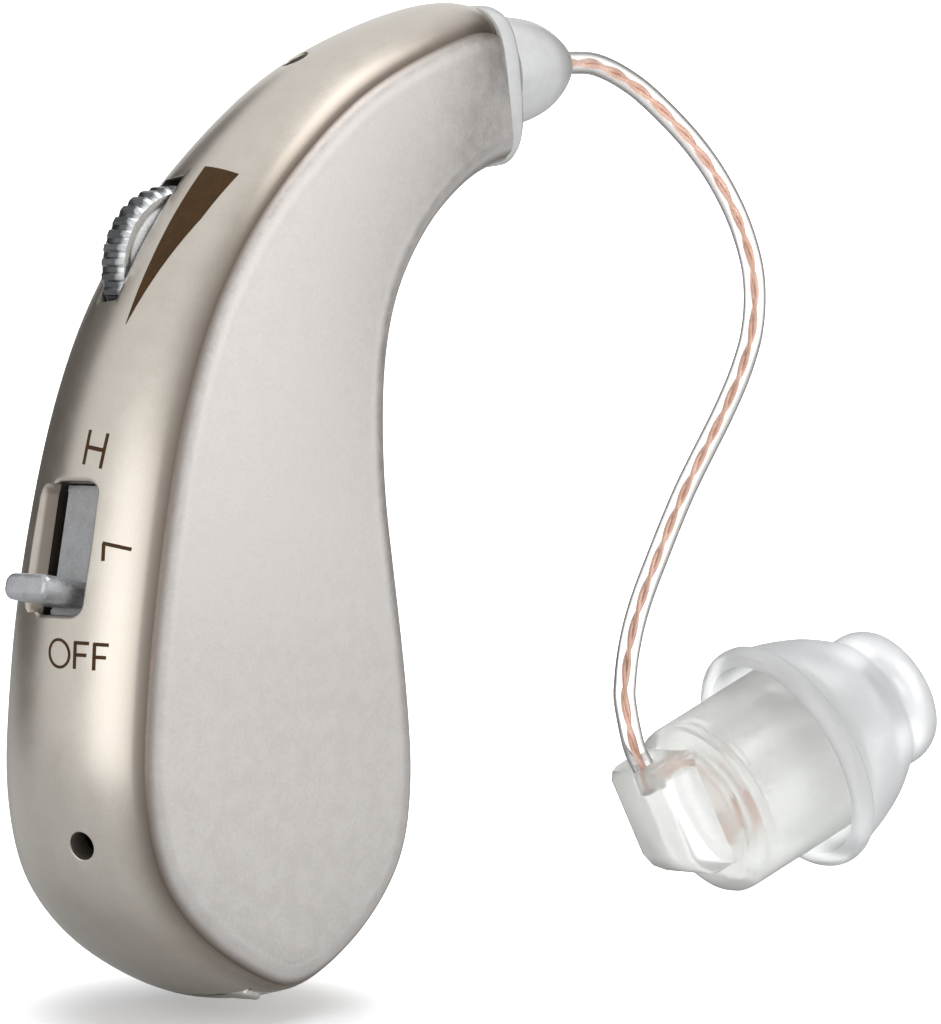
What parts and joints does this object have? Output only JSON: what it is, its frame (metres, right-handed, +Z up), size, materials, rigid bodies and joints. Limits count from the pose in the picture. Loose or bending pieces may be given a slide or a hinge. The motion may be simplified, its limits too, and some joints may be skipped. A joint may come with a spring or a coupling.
{
  "type": "behind-the-ear hearing aid",
  "caption": "Behind-the-ear hearing aid: a curved case with volume wheel, slide switch and battery door, joined by a clear wired lead to a receiver with a soft ear tip.",
  "frame": {"origin": "the place on the concave edge of the case that rests on the root of the ear, in the middle plane of the case", "axes": "+X forward, where the neck and the lead leave the case; +Y across the case, away from the pictured side; +Z up, towards the crown of the neck"},
  "size_m": [0.0532, 0.012, 0.0451],
  "materials": {
    "case_paint": "satin metallic paint",
    "cover_paint": "satin metallic paint",
    "pin_steel": "drawn",
    "cell_steel": "nickel plated",
    "contact_gold": "plated",
    "board_green": "solder mask",
    "chip_black": "moulded",
    "capacitor_tan": "fired",
    "control_grey": "moulded",
    "wheel_silver": "satin silver",
    "plate_grey": "bead blasted",
    "lever_silver": "satin silver",
    "mic_steel": "plated",
    "boot_rubber": "soft",
    "screen_mesh": "woven",
    "collar_clear": "translucent",
    "lead_clear": "clear tube over copper wire",
    "housing_clear": "clear",
    "can_steel": "drawn can",
    "copper": "enamelled wire",
    "magnet_grey": "sintered",
    "nozzle_white": "moulded",
    "tip_silicone": "frosted silicone"
  },
  "bodies": {
    "case": {"case_frame": "case_paint", "right_cover": "cover_paint", "left_cover": "cover_paint", "assembly_pins": "pin_steel", "door_hinge_pin": "pin_steel", "positive_contact": "contact_gold", "negative_contact": "contact_gold", "circuit_board": "board_green", "amplifier_chip": "chip_black", "board_capacitors": "capacitor_tan", "volume_control": "control_grey", "wheel_screw": "pin_steel", "switch_body": "control_grey", "switch_cover": "plate_grey", "switch_contacts": "contact_gold", "microphone": "mic_steel", "microphone_boot": "boot_rubber", "microphone_screen": "screen_mesh", "neck_collar": "collar_clear", "lead_cone": "collar_clear", "lead_plug": "control_grey", "receiver_lead": "lead_clear", "receiver_housing": "housing_clear", "housing_cap": "housing_clear", "receiver_can": "can_steel", "receiver_coil": "copper", "receiver_magnet": "magnet_grey", "diaphragm": "collar_clear", "receiver_wires": "copper", "sound_nozzle": "nozzle_white", "wax_filter": "nozzle_white"},
    "volume_wheel": {"volume_wheel": "wheel_silver"},
    "switch_lever": {"switch_lever": "lever_silver"},
    "battery_door": {"battery_door": "case_paint", "battery": "cell_steel"},
    "ear_tip": {"ear_tip": "tip_silicone"}
  },
  "joints": [
    {"name": "wheel_turn", "type": "hinge", "parent": "case", "child": "volume_wheel", "pos_m": [-0.01176, 0.00135, -0.00161], "axis": [0, 1, 0], "range_deg": [-135, 135]},
    {"name": "lever_slide", "type": "slide", "parent": "case", "child": "switch_lever", "axis": [0.189, 0, 0.982], "range_m": [0, 0.004]},
    {"name": "door_swing", "type": "hinge", "parent": "case", "child": "battery_door", "pos_m": [-0.00349, 0, -0.02059], "axis": [0, -1, 0], "range_deg": [0, 62]},
    {"name": "tip_pull", "type": "slide", "parent": "case", "child": "ear_tip", "axis": [0.8799, -0.1631, 0.4462], "range_m": [0, 0.006]}
  ]
}
